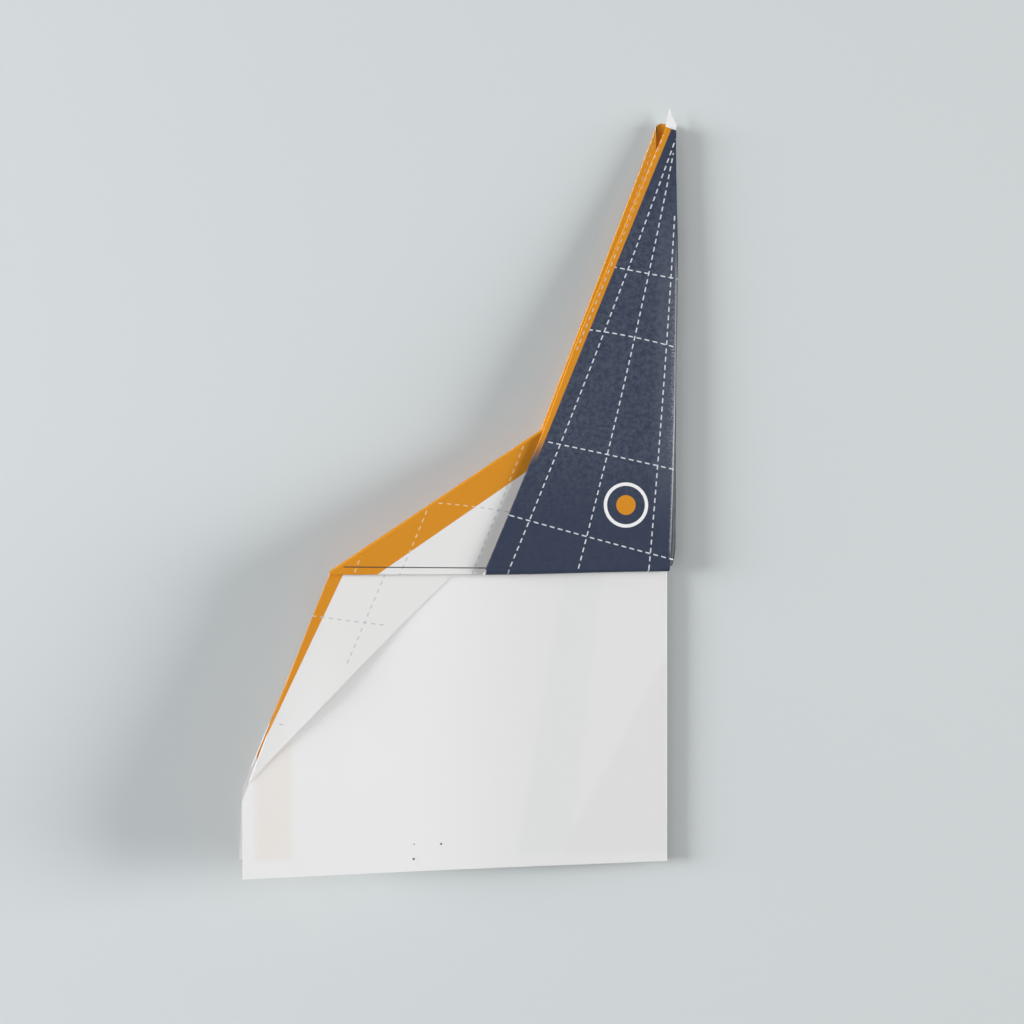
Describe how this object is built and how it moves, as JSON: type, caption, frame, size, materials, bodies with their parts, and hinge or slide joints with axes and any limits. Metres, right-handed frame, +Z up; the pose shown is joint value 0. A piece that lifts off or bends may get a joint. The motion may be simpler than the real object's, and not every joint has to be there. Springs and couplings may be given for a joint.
{
  "type": "paper airplane",
  "caption": "Half-folded paper dart with a pleated nose, its two halves folded back to back along the keel and sprung slightly apart, lying on its side.",
  "frame": {"origin": "bottom centre of the box of the resting airplane, on the table it lies on", "axes": "+Y points to the nose along the keel, +X from the wing edges to the keel, +Z up from the table"},
  "size_m": [0.1098, 0.1886, 0.0148],
  "materials": {
    "plain_side": "matt, unprinted side, print showing faintly through",
    "print_white": "matt, printed side, fine grey dashed guide lines",
    "print_orange": "matt solid print",
    "print_navy": "matt solid print, scuffed along the creases"
  },
  "bodies": {
    "right_half": {"right_wing_panel": "plain_side", "right_flap_root": "print_white", "right_pleat_flap": "print_white", "right_pleat_gusset": "plain_side", "right_pleat_panel": "print_white", "right_corner_pleat_panel": "print_white", "right_corner_pleat_flap": "print_white", "right_corner_lining": "print_white", "right_corner_flap": "print_orange", "right_nose_inner": "print_orange", "right_nose_first_fold": "plain_side", "right_nose_second_fold": "plain_side", "right_nose_outer": "print_navy"},
    "left_half": {"left_wing_panel": "plain_side", "left_flap_root": "print_white", "left_pleat_flap": "print_white", "left_pleat_gusset": "plain_side", "left_pleat_panel": "print_white", "left_corner_pleat_panel": "print_white", "left_corner_pleat_flap": "print_white", "left_corner_lining": "print_white", "left_corner_flap": "print_orange", "left_nose_inner": "print_orange", "left_nose_first_fold": "plain_side", "left_nose_second_fold": "plain_side", "left_nose_outer": "print_navy"},
    "left_flap": {"left_wing_flap": "print_white"},
    "right_flap": {"right_wing_flap": "print_white"}
  },
  "joints": [
    {"name": "keel_fold", "type": "hinge", "parent": "right_half", "child": "left_half", "pos_m": [0.05306, 0, 0.00224], "axis": [0, 1, 0], "range_deg": [-6.4, 173]},
    {"name": "left_flap_lift", "type": "hinge", "parent": "left_half", "child": "left_flap", "pos_m": [-0.04291, -0.04819, 0.01341], "axis": [-0.3802, -0.9239, 0.0433], "range_deg": [0, 12]},
    {"name": "right_flap_lift", "type": "hinge", "parent": "right_half", "child": "right_flap", "pos_m": [-0.04356, -0.04819, 0.002], "axis": [0.3827, 0.9239, 0], "range_deg": [0, 12]}
  ]
}
